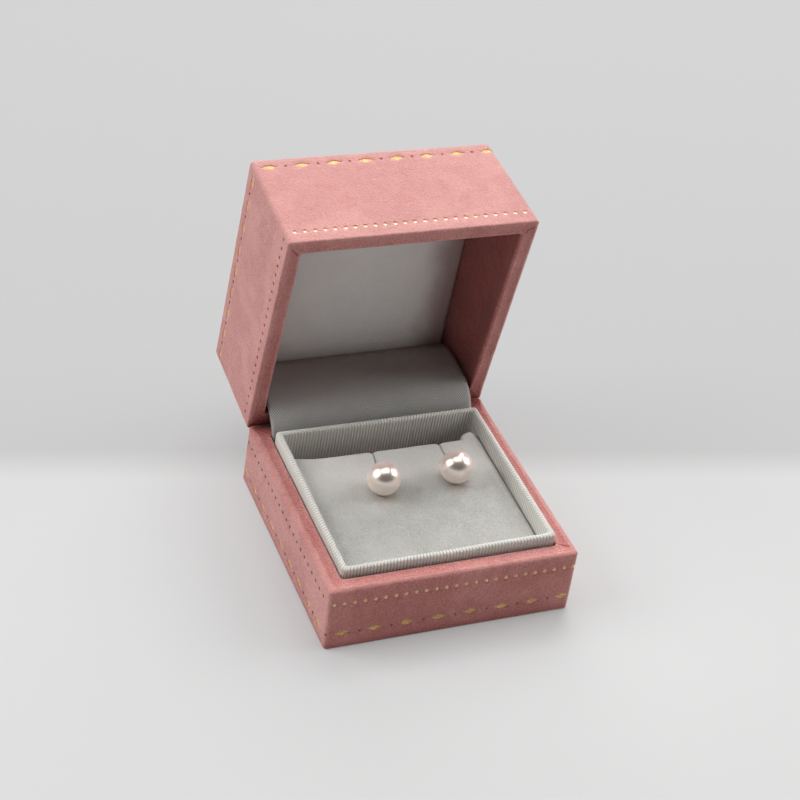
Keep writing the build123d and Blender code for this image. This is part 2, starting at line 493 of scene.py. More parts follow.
class Walls:
    """Four walls of a shell as one strip; near and far are its hinge and front faces by level."""

    def __init__(self, half, near, far, put, middle, seed):
        self.half, self.near, self.far, self.put, self.seed = half, near, far, put, seed
        across, along = half - corner_r, far(middle) - near(middle) - 2 * corner_r
        arc = corner_r * pi / 2
        self.lengths = [
            across - seam_x, arc, along, arc, 2 * across, arc, along, arc, across + seam_x
        ]
        self.starts = [sum(self.lengths[:k]) for k in range(10)]
        self.columns = [
            start + place
            for run, (start, length) in enumerate(zip(self.starts, self.lengths))
            for place in self.stops(run, length)
        ]

    def stops(self, run, length):
        """Where the columns stand on a run: close together in and near the corners."""
        if run in corner_runs:
            return [length * k / 8 for k in range(8)]
        fine = [0.15, 0.32, 0.55, 0.85, 1.3, 2.0]
        return spread(0, length, 1.4, [0, *fine] if run else [0, 0.7], fine if run < 8 else [0.7])

    def find(self, s):
        """The run that a place on the strip falls in, and how far along it."""
        for run in range(8, -1, -1):
            if s >= self.starts[run]:
                return run, min(1.0, (s - self.starts[run]) / self.lengths[run])
        return 0, 0.0

    def on_wall(self, wall, place, level):
        """The strip's own coordinate for a place on one wall."""
        if wall == "front":
            return self.starts[4] + (self.half - corner_r) - place
        if wall == "back":
            return place - seam_x if place > seam_x else self.starts[9] + place - seam_x
        a, b = self.near(level) + corner_r, self.far(level) - corner_r
        share = (place - a) / (b - a)
        if wall == "right":
            return self.starts[2] + share * self.lengths[2]
        return self.starts[6] + (1 - share) * self.lengths[6]

    def plan(self, s, level, inset):
        """The outline at a level, drawn in by inset."""
        near, far = self.near(level) + inset, self.far(level) - inset
        return round_rect(*self.find(s), self.half - inset, near, far, max(corner_r - inset, 0.04))

    def lift(self, x, ahead, level):
        """How far the soft cover stands proud of the board here."""
        broad, fine = (ripple(x, ahead, level, size, self.seed) for size in (12, 3.3))
        return 0.05 * broad + 0.03 * fine

    def skin(self, s, level, depth=0.0):
        """A point of the cover on the walls, pressed in by depth."""
        x, ahead = self.plan(s, level, 0.0)
        x, ahead = self.plan(s, level, depth - self.lift(x, ahead, level))
        return self.put(x, ahead, level)


base_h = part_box("base_shell")[1].z / MM
foot_lean, crown_lean = 1.75, 2.26          # how far the front and the back slope


def up_lid(level):
    """0 at the lid's rim and 1 at its crown."""
    return (level - rim_level) / (crown_level - rim_level)


base_walls = Walls(
    base_half, lambda v: 0.0, lambda v: 57.4 + foot_lean * (1 - v / base_h),
    in_base, base_h / 2, 3.1,
)
lid_walls = Walls(
    lid_half, lambda v: -crown_lean * up_lid(v), lambda v: 57.25 + 0.2 * up_lid(v),
    in_lid, crown_level / 2, 8.4,
)
print("strips, mm:", round(base_walls.starts[9], 1), round(lid_walls.starts[9], 1))

# %% [markdown]
# ## Tooling
# The gold line work is pressed in with warm metal tools: a round one for the
# row of dots, and a long diamond with hollow sides set between pinpricks. Each
# mark has real relief. The strip is cut by its outline, the suede rolls over
# its edge, and a separate gilt dish fills it; the base's dots swell again in
# their middles. A painted pattern would be less work, but it wouldn't catch
# the light from one side.

# %% One tool's mark
Tool = namedtuple("Tool", "half_long half_tall count hollow kind dark_side dish")
tools = {
    # kind: 1 shows bare suede, which on the side walls' dots is painted shade, and -2 the
    # palest, least metallic leaf, partly a painted highlight; the sixth field paints shade on
    # one side of the dish, 1 above, -1 below;
    # dish: rings inwards, each with its share of the outline and its depth
    "dot": Tool(0.5, 0.5, 18, 2.0, -1.0, -1,
                ((0.9, 0.14), (0.76, -0.04), (0.55, -0.1), (0.3, -0.15))),
    "deep dot": Tool(0.44, 0.44, 18, 2.0, -2.0, 1, ((0.85, 0.15), (0.6, 0.19), (0.3, 0.21))),
    "bare dot": Tool(0.34, 0.34, 14, 2.0, 1.0, 0, ((0.75, 0.3), (0.4, 0.42))),
    "diamond": Tool(1.8, 0.7, 40, 1.06, 0.0, 0, ((0.84, 0.16), (0.6, 0.17), (0.3, 0.15))),
    "prick": Tool(0.29, 0.29, 12, 2.0, 0.93, 0, ((0.7, 0.13), (0.35, 0.16))),
}
Mark = namedtuple("Mark", "tool s level")   # s is its place on the strip
lip_depth = 0.10
cover_lip = ((0.16, 0.0), (0.06, 0.03), (0.0, lip_depth + 0.02))    # how the suede rolls in


def outline(mark, grow=0.0, scale=1.0):
    """The edge of one mark on the strip, a little uneven, as the suede takes it."""
    tool, points = mark.tool, []
    for c, s in circle(tool.count):
        x = abs(c) ** (2 / tool.hollow) * (1 if c > 0 else -1)
        y = abs(s) ** (2 / tool.hollow) * (1 if s > 0 else -1)
        wave = ripple(mark.s + 1.5 * x, mark.level + 1.5 * y, tool.half_long, 0.8, 5.0)
        size = scale * (1 + 0.13 * wave)
        points.append((
            mark.s + (tool.half_long * size + grow) * x,
            mark.level + (tool.half_tall * size + grow) * y,
        ))
    return points


def stamps(walls, rows):
    """Every mark on a shell, from rows of (wall, tool, level, first place, pitch, count)."""
    marks = []
    for wall, tool, level, first, pitch, count in rows:
        for k in range(count):
            place = first + k * pitch
            shake = 0.05 * ripple(place, level, len(wall), 1.0, walls.seed)
            marks.append(Mark(tools[tool], walls.on_wall(wall, place, level), level + shake))
    return marks


base_dots, base_diamonds = 11.95, 3.95      # levels of the rows
lid_dots, lid_diamonds = 3.6, 25.15
pitch, side_pitch = 2.41, 2.52              # dot to dot
wide, base_wide, lid_wide = 7.7, 6.42, 6.6  # diamond to diamond: front and back, then the sides


def side_rows(dots, diamonds):
    """The rows of the left wall and the right one, which are alike."""
    return [(side, *row) for side in ("left", "right") for row in (dots, *diamonds)]


def back_rows(dot, dots_at, diamonds_at):
    """The rows of the back wall, even about its middle."""
    return [
        ("back", dot, dots_at, -11 * pitch, pitch, 23),
        ("back", "diamond", diamonds_at, -3.5 * wide, wide, 8),
        ("back", "prick", diamonds_at, -3 * wide, wide, 7),
    ]


base_marks = stamps(base_walls, [
    ("front", "dot", base_dots, -28.6, pitch, 25),
    ("front", "diamond", base_diamonds, -26.1, wide, 8),
    ("front", "prick", base_diamonds, -29.8, wide, 8),
    # the side walls' dots are dark with painted shade
    *side_rows(("bare dot", base_dots, 1.5, side_pitch, 22), (
        ("diamond", 3.4, 2.5, base_wide, 9),
        ("bare dot", 3.4, 2.5 + base_wide / 2, base_wide, 8))),
    *back_rows("dot", base_dots, base_diamonds),
])
lid_marks = stamps(lid_walls, [
    ("front", "deep dot", lid_dots, -27.1, 2.375, 24),
    ("front", "diamond", lid_diamonds, -26.0, wide, 8),
    ("front", "prick", lid_diamonds, -26.0 + wide / 2, wide, 7),
    # the side walls' dots are dark with painted shade
    *side_rows(("bare dot", 2.95, 0.43, side_pitch, 23), (
        ("diamond", 24.6, 0.95, lid_wide, 9),
        ("bare dot", 24.7, 0.95 + lid_wide / 2, lid_wide, 8))),
    *back_rows("deep dot", lid_dots, lid_diamonds),
])
print("marks:", len(base_marks), "on the base,", len(lid_marks), "on the lid")

# %% The strip with its marks
def near_mark(s, level, marks, clear=0.45):
    """Whether a place on the strip is in or close to a mark."""
    return any(
        ((s - mark.s) / (mark.tool.half_long + clear)) ** 2
        + ((level - mark.level) / (mark.tool.half_tall + clear)) ** 2 < 1
        for mark in marks
    )


def gilt_dish(walls, mark, start):
    """The gilt that fills a mark: its points, its faces and how bare each point is, with painted
    shade on one side of the dish.
    """
    tool = mark.tool
    points, bare = [], []
    dish = [(0.03, 1.0, lip_depth)] + [(0.0, share, depth) for share, depth in tool.dish]
    for grow, share, depth in dish:
        for x, y in outline(mark, grow, share):
            points.append(walls.skin(x, y, depth))
            # painted shade on one side of the dish
            up = tool.dark_side * (y - mark.level) / tool.half_tall
            dark = abs(tool.dark_side) * ease(0.5 + 0.5 * up, 0.5, 1.0)
            bare.append(tool.kind + (0.8 - tool.kind) * dark)
    points.append(walls.skin(mark.s, mark.level, dish[-1][2] - 0.01))
    bare.append(tool.kind)
    faces = sheet_faces(len(dish), tool.count, start, closed=True)
    last, middle = start + (len(dish) - 1) * tool.count, start + len(points) - 1
    faces += [(last + k, last + (k + 1) % tool.count, middle) for k in range(tool.count)]
    a, b, c = (Vector(points[i - start]) for i in faces[-1])
    outward = Vector(walls.skin(mark.s, mark.level, -1)) - Vector(walls.skin(mark.s, mark.level))
    if (b - a).cross(c - a).dot(outward) < 0:
        faces = [face[::-1] for face in faces]
    return points, faces, bare


def tooled_strip(walls, low, high, marks, end_wear, front_wear):
    """The cover between two levels with every mark cut in it, and the gilt that fills them. The
    closed face is below where the closed end's number is under 0, and above where it isn't; that
    number paints shade along the base's foot and rubs the lid's crown edges pale."""
    columns = walls.columns + [walls.starts[9]]
    rows = ceil((high - low) / 1.35)
    levels = [low + (high - low) * k / rows for k in range(rows + 1)]
    flat = [
        (s, level) for s in columns for k, level in enumerate(levels)
        if k in (0, rows) or not near_mark(s, level, marks)
    ]
    print("strip:", len(flat), "grid points")
    loops = []
    for mark in marks:
        loop = outline(mark, cover_lip[0][0])
        loops.append(range(len(flat), len(flat) + len(loop)))
        flat += loop
    cut = delaunay_2d_cdt([Vector(p) for p in flat], [], [list(loop) for loop in loops], 0, 1e-6)
    _, _, triangles, source, _, inside = cut
    faces = [
        [source[i][0] for i in face] for face, marks_over in zip(triangles, inside)
        if not marks_over
    ]
    points, wear = [], []
    for s, level in flat:
        points.append(walls.skin(s, level))
        run, share = walls.find(s)
        corner = sin(pi * share) if run in corner_runs else 0.0
        from_end, from_rim = level - low, high - level
        if end_wear > 0:
            from_end, from_rim = from_rim, from_end
        edge = max(0.5 * corner, 0.12 * exp(-from_rim / 0.4)) * ease(from_end, 0, 2)
        front = {3: share, 4: 1.0, 5: 1 - share}.get(run, 0.0)
        # rubbed corners and rim edge; along the closed end, painted shade on the base and rubbing
        # on the lid; on the front wall, painted shade on the base and painted light on the lid,
        # whose front is its top when open
        wear.append(edge + end_wear * exp(-from_end / 0.6) + front_wear * front)
    gilt_points, gilt_faces, bare = [], [], []
    for mark, ring in zip(marks, loops):
        for grow, depth in cover_lip[1:]:
            after = range(len(points), len(points) + len(ring))
            points += [walls.skin(x, y, depth) for x, y in outline(mark, grow)]
            # each mark's lip is pressed darker and deepened with painted shade
            wear += [-0.9 * depth / lip_depth] * len(ring)
            faces += band(ring, after)
            ring = after
        more, more_faces, more_bare_and_light = gilt_dish(walls, mark, len(gilt_points))
        gilt_points += more
        gilt_faces += more_faces
        bare += more_bare_and_light
    return points, faces, wear, gilt_points, gilt_faces, bare

# %% [markdown]
# ## Closing a shell
# Rings run from the middle of the closed face out to the walls, and from the
# walls over the rim and down into the pocket. At each corner of the rim the
# suede is folded under itself, and the fold shows as a crease or a soft ridge.
# The creases are short lines, and each ring sinks a little where it meets one.

# %% Folded corners
class Fold:
    """A crease on the rim: its line of points, groove and ridge, and how far one side laps."""

    def __init__(self, *path, groove=0.0, ridge=0.0, lap=0.0):
        self.path = [Vector(p) for p in path]
        self.groove, self.ridge, self.lap = groove, ridge, lap

    def sink(self, x, ahead):
        """How far the rim sinks here, and its colour: paler where a ridge is rubbed, darker with
        painted shade in a groove.
        """
        spot, nearest, side = Vector((x, ahead)), 1e9, 1.0
        for a, b in zip(self.path, self.path[1:]):
            run = b - a
            share = min(1.0, max(0.0, (spot - a).dot(run) / run.length_squared))
            away = spot - (a + share * run)
            if away.length < nearest:
                nearest = away.length
                side = run.x * away.y - run.y * away.x
        line = hill(nearest, 0.2)
        lapped = self.lap * exp(-nearest / 0.9) if side > 0 else 0.0
        return (self.groove - self.ridge) * line - lapped, (self.ridge - self.groove) * line * 4


# a groove darkens the suede with painted shade; a ridge is rubbed paler
base_folds = [
    Fold((25.9, 53.4), (28.2, 54.9), (29.7, 55.5), groove=0.2, lap=0.09),
    Fold((-25.9, 53.3), (-29.2, 56.6), groove=0.03, ridge=0.02),
    *[Fold((k * 25.9, 3.9), (k * 29.2, 0.8), groove=0.08) for k in (-1, 1)],
]
lid_folds = [
    Fold((26.2, 53.3), (28.0, 55.1), (28.8, 55.6), (29.6, 55.8), groove=0.3, lap=0.22),
    Fold((-25.7, 53.4), (-29.2, 56.7), ridge=0.17, lap=0.08),
    Fold((-25.9, 52.6), (-29.2, 55.8), groove=0.16),
    *[Fold((k * 26.2, 3.5), (k * 28.9, 0.8), groove=0.08) for k in (-1, 1)],
]

# %% A whole shell
def shell(
    walls, marks, folds, rim, end, floor, end_r, edge_r, lip_r, end_soft,
    end_wear, front_wear, side_wear, pocket, lean,
):
    """The covered shell and its tooling. rim, end and floor are the levels of its rim, its
    closed face and its inside. The r's are roundings. The numbers for the closed end, the front
    wall and the sides paint the suede: above 0 paler, which is rubbing on the lid's crown edges
    and painted light on its front wall, the top when open, and on its right rim, and below 0
    darker, which is painted shade on the base's foot, front and sides and on the lid's left ledge
    side. The sides' pair is the left's and the right's. pocket is the inside's half width, shift,
    near, far and corner, and lean is how far its floor falls back towards the hinge."""
    climb = 1 if rim > end else -1
    rim_start = rim - climb * edge_r        # where the rim begins to round
    half, shift, near, far, radius = pocket
    depth = abs(floor - rim) - lip_r
    rings, worn = [], []

    def in_pocket(s, inset, back=0.0):
        x, ahead = round_rect(
            *walls.find(s), half - inset, near - back + inset, far - inset,
            max(radius - inset, 0.04),
        )
        return x + shift, ahead

    def lip_at(s):
        """The lip's rounding, crisp near the hinge."""
        return lip_r * (0.35 + 0.65 * ease(in_pocket(s, 0.0)[1], 5, 11))

    def lift_at(s, level):
        return walls.lift(*walls.plan(s, level, 0.0), level)

    def on_end(s, inset):
        x, ahead = walls.plan(s, end, inset)
        return x, ahead, end - climb * end_soft * walls.lift(x, ahead, end)

    def over_end(s, turn):
        level = end + climb * end_r * (1 - cos(turn))
        rise = lift_at(s, level)
        inset = end_r * (1 - sin(turn)) - rise * sin(turn)
        return *walls.plan(s, level, inset), level - climb * end_soft * rise * cos(turn)

    def over_rim(s, turn):
        x, ahead = walls.plan(s, rim_start, 0.0)
        crisp = edge_r * (0.4 + 0.6 * ease(ahead, 0.5, 4))          # along the hinge
        uneven = 1 + 0.22 * ripple(x, ahead, rim_start, 2.6, walls.seed + 5)
        soft = 1 + 0.9 * ease(abs(x), 27, 29.3)                     # along the sides
        inset = crisp * soft * (1 - cos(turn)) * uneven - lift_at(s, rim_start) * cos(turn)
        level = rim - climb * crisp * (1 - sin(turn)) if turn else rim_start
        # painted light along the lid's right rim edge, painted shade along the base's side rim
        # edges
        rubbed_and_lit = (0.1 + 0.6 * side_wear[x > 0]) * ease(abs(x), 28, 29.3)
        return *walls.plan(s, level, inset), level, rubbed_and_lit

    def on_ledge(s, share):
        x0, a0 = over_rim(s, pi / 2)[:2]
        x1, a1 = in_pocket(s, -lip_at(s))
        x, ahead = x0 + share * (x1 - x0), a0 + share * (a1 - a0)
        dips, rubs_and_shade = zip(*(fold.sink(x, ahead) for fold in folds))
        sink = 0.16 + 0.04 * ripple(x, ahead, 0, 4, walls.seed) + sum(dips)
        # painted shade in the folds' grooves and on the ledge sides, painted light on the lid's
        # right one
        rubbed_and_lit = sum(rubs_and_shade) + side_wear[x > 0] * ease(abs(x), 26, 28)
        return x, ahead, rim - climb * sink * sin(pi * share) ** 0.5, rubbed_and_lit

    def over_lip(s, turn):
        lip = lip_at(s)
        return *in_pocket(s, -lip * (1 - sin(turn))), rim - climb * lip * (1 - cos(turn))

    def down_wall(s, share):
        level = rim - climb * (lip_r + depth * share)
        x, ahead = in_pocket(s, 0.0)
        soft = 0.09 * abs(ripple(x, ahead, level, 7, walls.seed)) * sin(pi * share)
        wider = 0.15 * lean * (1 - ease(share, 0.1, 0.4))           # clear of the collar, shut
        place = in_pocket(s, soft - wider, lean * ease(share, 0.15, 0.5))
        return *place, level, 0.3 * ripple(x, ahead, level, 9, 4.4)

    def on_floor(s, inset):
        return *in_pocket(s, inset, lean), floor

    def add_ring(place, step, wear=0.0, hinge=0.0):
        """A ring of points and their numbers; hinge darkens it with painted shade where it comes
        near the hinge.
        """
        spots = [(*place(s, step), 0.0)[:4] for s in walls.columns]
        rings.append([walls.put(*spot[:3]) for spot in spots])
        worn.append([
            wear + rubbed_and_lit
            - hinge * (1.9 - 0.3 * max(0.0, abs(x) - 26)) * exp(-max(0.0, ahead) / 2.8)
            for x, ahead, _, rubbed_and_lit in spots
        ])

    for inset in (28.3, 25, 21, 17, 13, 9.5, 6.5, 4, 2.2):
        add_ring(on_end, inset)
    # over the closed end: painted shade along the base's foot, rubbed pale edges on the lid's crown
    for turn in (radians(15 * k) for k in range(7)):
        add_ring(over_end, turn, end_wear * (1 + 0.6 * sin(2 * turn)))
    outside = len(rings)
    # rubbed pale rim edges, and painted shade by the hinge
    for turn in (radians(11.25 * k) for k in range(9)):
        add_ring(over_rim, turn, 0.1 + 0.4 * sin(2 * turn), 1.1)
    # the ledge painted a touch darker with shade, and darker still by the hinge
    for k in range(1, 15):
        add_ring(on_ledge, k / 15, -0.06, 1.2)
    # a rubbed pale lip, then painted shade going in, and by the hinge
    for turn in (radians(18 * k) for k in range(6)):
        add_ring(over_lip, turn, 0.2 * sin(2 * turn) - 0.5 * turn, 1.2)
    down = max(4, round(depth / 1.6))
    # painted shade down the pocket walls
    for k in range(1, down + 1):
        add_ring(down_wall, k / down, -0.95)
    for inset in (1.5, 5, 10, 16, 22, 24.3):
        add_ring(on_floor, inset)

    points, faces, wear, *gilt = tooled_strip(
        walls, *sorted((end + climb * end_r, rim_start)), marks, end_wear, front_wear
    )
    count, first = len(walls.columns), len(points)
    for ring, ring_wear_and_light in zip(rings, worn):
        points += ring
        wear += ring_wear_and_light
    faces += sheet_faces(outside, count, first, closed=True)
    faces += sheet_faces(len(rings) - outside, count, first + outside * count, closed=True)
    faces.append(tuple(range(first, first + count)))
    faces.append(tuple(range(len(points) - count, len(points))))
    return points, faces, wear, *gilt


# %% [markdown]
# ## Suede
# Suede is a mat of short fibres. It has no gloss, it is paler where the nap is
# brushed one way and along every worn edge, and a faint glow runs over it at a
# low angle. Noise at three sizes makes the brushed patches, the mottling and
# the nap. The points' own number rubs the edges pale, and it also carries painted
# light: the lid's front wall, its top when open, and its right rim are painted paler,
# and painted shade darkens the pocket walls, the crease by the hinge, the base's
# foot, front and sides, the folds' grooves and the lips of the marks, which are also
# pressed in. A picture of suede would repeat and stretch round the corners, and
# noise in the piece's own space does neither.

# %% Suede finish
suede = Finish("rose_suede")
mm = suede.millimetres()
brushed = suede.between(suede.cloud(mm, 17, detail=1.5, twist=1.2), 0.42, 0.62)
mottled = suede.cloud(mm, 2.6, detail=4, rough=0.62)
nap = suede.cloud(mm, 0.42, detail=3, rough=0.75)
worn = suede.mark("wear")
calm = worn.share(3.0)
pale = brushed * 0.3 + (mottled - 0.5) * 0.7 + (nap - 0.5) * (3.2 - 1.5 * calm) + 0.35
cover = suede.painted(
    rgb(0.47, 0.140, 0.128),
    (pale.share(), rgb(0.70, 0.312, 0.284)),
    ((worn * (0.3 + nap)).share(0.5), rgb(0.58, 0.365, 0.34)),      # rubbed edges, and painted light on the lid's top wall and right rim
    (worn.share(-0.7 - 0.6 * mottled), rgb(0.34, 0.036, 0.028)),    # painted shade, and pressed in at the marks' lips
    ((worn + 1.0).share(-1.0), rgb(0.035, 0.012, 0.010)),           # painted shade, near black, mostly in the crease by the hinge
)
rose_suede = suede.finished(
    Base_Color=cover, Roughness=0.92, Specular_IOR_Level=0.18, Sheen_Weight=0.55,
    Sheen_Roughness=0.5, Sheen_Tint=rgb(1.0, 0.92, 0.90),
    Normal=suede.relief((mottled, 0.25), (nap, 0.3)),
)

# %% [markdown]
# ## Gilding
# The gilt is a thin leaf pressed on fibres, so it keeps a little of their grain
# and its polish is uneven. It is a real metal to the shader, and where the
# tool was too cool the leaf is thin and darker. The points' own number says
# where the leaf has worn away and where it is thickest. It also paints light:
# shade on one side of each mark's dish and over the side walls' dots, and the
# dots' pale, less metallic leaf is partly a painted highlight.

# %% Gilt finish
gilt = Finish("pressed_gilt")
mm = gilt.millimetres()
grain = gilt.between(gilt.cloud(mm, 0.3, detail=3, rough=0.7), 0.35, 0.65)
thin = gilt.between(gilt.cloud(mm, 1.1, detail=3), 0.55, 0.72)
mark = gilt.mark("bare")
bare, thick_and_highlit = mark.share(), mark.share(-1.0)
leaf = gilt.painted(
    rgb(0.60, 0.35, 0.12),
    (grain, rgb(1.0, 0.72, 0.36)),
    (thin * 0.5, rgb(0.42, 0.22, 0.08)),
    # the dots' paler, less metallic leaf, partly a painted highlight
    (thick_and_highlit, rgb(1.0, 0.66, 0.38)),
    # the deep dots' cream leaf, partly a painted highlight
    ((mark + 1.0).share(-1.0), rgb(1.0, 0.90, 0.72)),
    # bare suede, and painted shade on one side of each dish and on the side walls' dots
    (bare * 0.96, rgb(0.30, 0.095, 0.075)),
)
pressed_gilt = gilt.finished(
    Base_Color=leaf, Metallic=0.7 - 0.6 * bare - 0.45 * thick_and_highlit,
    Roughness=0.36 + 0.25 * grain + 0.3 * bare, Normal=gilt.relief((grain, 0.1)),
)

# %% Base and lid covers
shells = {
    "base": shell(
        base_walls, base_marks, base_folds, rim=base_h, end=0.0, floor=2.4,
        end_r=0.5, edge_r=0.75, lip_r=0.45, end_soft=0.0,
        # painted shade on the base's foot, its front and its sides
        end_wear=-0.45, front_wear=-0.12, side_wear=(-0.3, -0.25),
        pocket=(25.95, -0.04, 4.0, 53.9, 0.8), lean=0.0,
    ),
    "lid": shell(
        lid_walls, lid_marks, lid_folds, rim=rim_level, end=crown_level, floor=25.8,
        end_r=0.8, edge_r=0.45, lip_r=0.8, end_soft=1.0,
        # rubbed crown edges; painted light on the front wall, the top when open, and on the right
        # rim; a little painted shade on the left ledge side
        end_wear=0.4, front_wear=0.6, side_wear=(-0.12, 0.2),
        pocket=(26.0, 0.03, 4.5, 53.55, 0.5), lean=1.5,
    ),
}
for body, (points, faces, wear, gilt_points, gilt_faces, bare) in shells.items():
    piece(body + "_cover", points, faces, rose_suede, body, [body + "_shell"], "suede", wear=wear)
    piece(
        body + "_tooling", gilt_points, gilt_faces, pressed_gilt, body, slot="gold_tooling",
        bare=bare,
    )

# %% [markdown]
# ## The collar
# A strip of ribbed cloth is wrapped over a card frame that stands in the base.
# The ribs are fat cords, and they run over the top edge, so the outline itself
# is toothed. That is why they are made as points and not only as bumps: each
# rib takes six columns, all the way round. Painted shade darkens the grooves
# between the cords, more on the inside.

# %% Collar
ribs_across, ribs_along, ribs_corner = 63, 57, 3
rib_height, rib_pitch, rib_columns = 0.18, 0.75, 6
collar_wall, collar_corner = 1.4, 0.9
collar_forward, collar_aside = 0.32, -0.02


def collar_piece(finish):
    low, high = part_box("collar")
    half = high.x / MM
    near, far = hinge_y - high.y / MM, hinge_y - low.y / MM + collar_forward
    foot, top, wall = low.z / MM, high.z / MM, collar_wall
    first_half = round(ribs_across / 2 - seam_x / rib_pitch)
    corner_and_side = (ribs_corner, ribs_along, ribs_corner)
    counts = (first_half, *corner_and_side, ribs_across, *corner_and_side, ribs_across - first_half)
    columns = [
        (run, k / (ribs * rib_columns), (k % rib_columns) / rib_columns)
        for run, ribs in enumerate(counts) for k in range(ribs * rib_columns)
    ]
    round_r = wall / 2
    # across the frame, as (inset, level): up its outside, over its edge and down its inside
    across = [(0.0, z) for z in (foot, foot + 6, top - 4.2, top - 2.6, top - 1.6)]
    across += [
        (round_r * (1 - cos(radians(a))), top - round_r * (1 - sin(radians(a))))
        for a in range(0, 181, 15)
    ]
    across += [(wall, z) for z in (top - 2.0, top - 4, top - 7, foot + 3, foot)]
    points, deep = [], []
    for inset, level in across:
        side = (inset - round_r) / round_r              # -1 outside, 1 inside
        crown = sqrt(max(0.0, 1 - side * side))
        radius = max(collar_corner - inset, 0.22) + 0.6 * ease(inset, 0.0, wall)
        for run, share, phase in columns:
            cord = abs(sin(pi * phase)) ** 0.75
            x, ahead = round_rect(run, share, half, near, far, collar_corner)
            wander = 0.10 * ripple(x, ahead, level, 9, 1.7)
            wander += 0.05 * ripple(x, ahead, level, 2.2, 4.0)
            push = rib_height * (cord - 0.75)
            low_side = 0.7 - 0.3 * x / half             # it sits deeper in front and on the left
            sunk = low_side * ease(ahead, near, far) * ease(level, foot, top - 2)
            out = inset + side * push + 0.5 * wander
            x, ahead = round_rect(run, share, half - out, near + out, far - out, radius)
            level_here = level - sunk + crown * (push + 0.6 * wander)
            points.append(in_base(x + collar_aside, ahead, level_here))
            # painted shade between the cords, stronger on the inside
            deep.append((1 - cord) * (1.1 if inset else 0.7))
    count, last = len(columns), len(points) - len(columns)
    faces = sheet_faces(len(across), count, closed=True)
    faces += band(range(count), range(last, last + count))
    piece("collar_cloth", points, faces, finish, "base", ["collar"], "ribbed_cloth", deep=deep)


# %% Ribbed cloth finish
ribbed = Finish("ribbed_cloth")
mm = ribbed.millimetres()
thread = ribbed.cloud(mm, 0.13, detail=2, rough=0.6)
soil = ribbed.cloud(mm, 4.5, detail=3)
wool = ribbed.painted(
    rgb(0.71, 0.695, 0.65),
    (soil, rgb(0.79, 0.785, 0.735)),
    # painted shade between the cords
    ((ribbed.mark("deep") ** 1.5).share(0.9), rgb(0.34, 0.33, 0.285)),
    (thread * 0.25, rgb(0.78, 0.76, 0.72)),
)
ribbed_cloth = ribbed.finished(
    Base_Color=wool, Roughness=0.85, Specular_IOR_Level=0.25, Sheen_Weight=0.12,
    Normal=ribbed.relief((thread, 0.05)),
)
collar_piece(ribbed_cloth)

# %% [markdown]
# ## The pad
# The studs are pushed into a foam pad covered in short flock. Its back edge is
# turned under in a soft fold, two slits are cut in from that edge so that the
# posts can slide in, and its right back corner has curled up. The top is one
# fine grid of heights. The columns lean with the slits, so that each slit is
# cut cleanly along its own line. The flock's colour carries painted light: the
# back of the pad and its right side are painted paler, the curled corner and the
# bead along the right edge get a painted highlight, painted shade darkens the
# slits, and under each pearl lies a faint rosy painted shade.

# %% The studs' places
Stud = namedtuple("Stud", "middle radius foot slit_x")
studs = {}
for side, slit_x in (("left", -3.5), ("right", 13.5)):
    low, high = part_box("pearl_" + side)
    middle = (low + high) / 2 / MM + Vector((-0.2, -0.45, -0.2))
    foot = Vector((middle.x + 0.8, middle.y + 0.4))
    studs[side] = Stud(middle, (high.z - low.z) / 2 / MM, foot, slit_x)
    print(side, "pearl at, mm:", [round(c, 1) for c in middle])

# %% Soft pieces
def skirt(points, faces, wide, deep, levels, put):
    """Walls from the edge of a grid of points, and a flat face that closes them. put gives the
    point on a level that stands over one of the grid's points."""
    edge = [
        *range(wide),
        *(row * wide + wide - 1 for row in range(1, deep)),
        *((deep - 1) * wide + k for k in range(wide - 2, -1, -1)),
        *(row * wide for row in range(deep - 2, 0, -1)),
    ]
    ring = edge
    for level in levels:
        after = range(len(points), len(points) + len(edge))
        points += [put(index, level) for index in edge]
        faces += band(ring, after)
        ring = after
    faces.append(tuple(ring))
    return edge


# %% Pad
slit_end = 16.3         # where the slits leave the pad's back edge


def stations(start, stop, step, ends=(), slits=()):
    """Columns or rows: close together at the ends and about every slit."""
    fine = [0.0, *ends]
    spots = [start + f for f in fine]
    while spots[-1] < stop - fine[-1] - step / 2:
        spots.append(spots[-1] + step)
    spots += [stop - f for f in reversed(fine)]
    steps = (0.09, 0.18, 0.28, 0.4, 0.6, 0.9)
    for slit in slits:
        close = [slit, *(slit + f for f in steps), *(slit - f for f in steps)]
        spots = [s for s in spots if abs(s - slit) > 1.05] + close
    return sorted(set(spots))


def slit_dip(stud, x, y, away):
    """How far the flock dips about one slit and stud, and how much painted shade darkens the slit.
    """
    opened = ease(y, stud.foot.y - 0.3, stud.foot.y + 0.8)
    gape = 0.02 + 0.03 * ease(y, 12.5, slit_end)
    dip = 0.7 * opened * (1 - ease(away, gape, gape + 0.16))
    dip += opened * (0.22 * hill(away, 0.5) - 0.05 * hill(away - 0.45, 0.22))
    dip += 0.45 * hill((Vector((x, y)) - stud.foot).length, 1.9)
    return dip, 0.7 * opened * (1 - ease(away, gape, gape + 0.22))


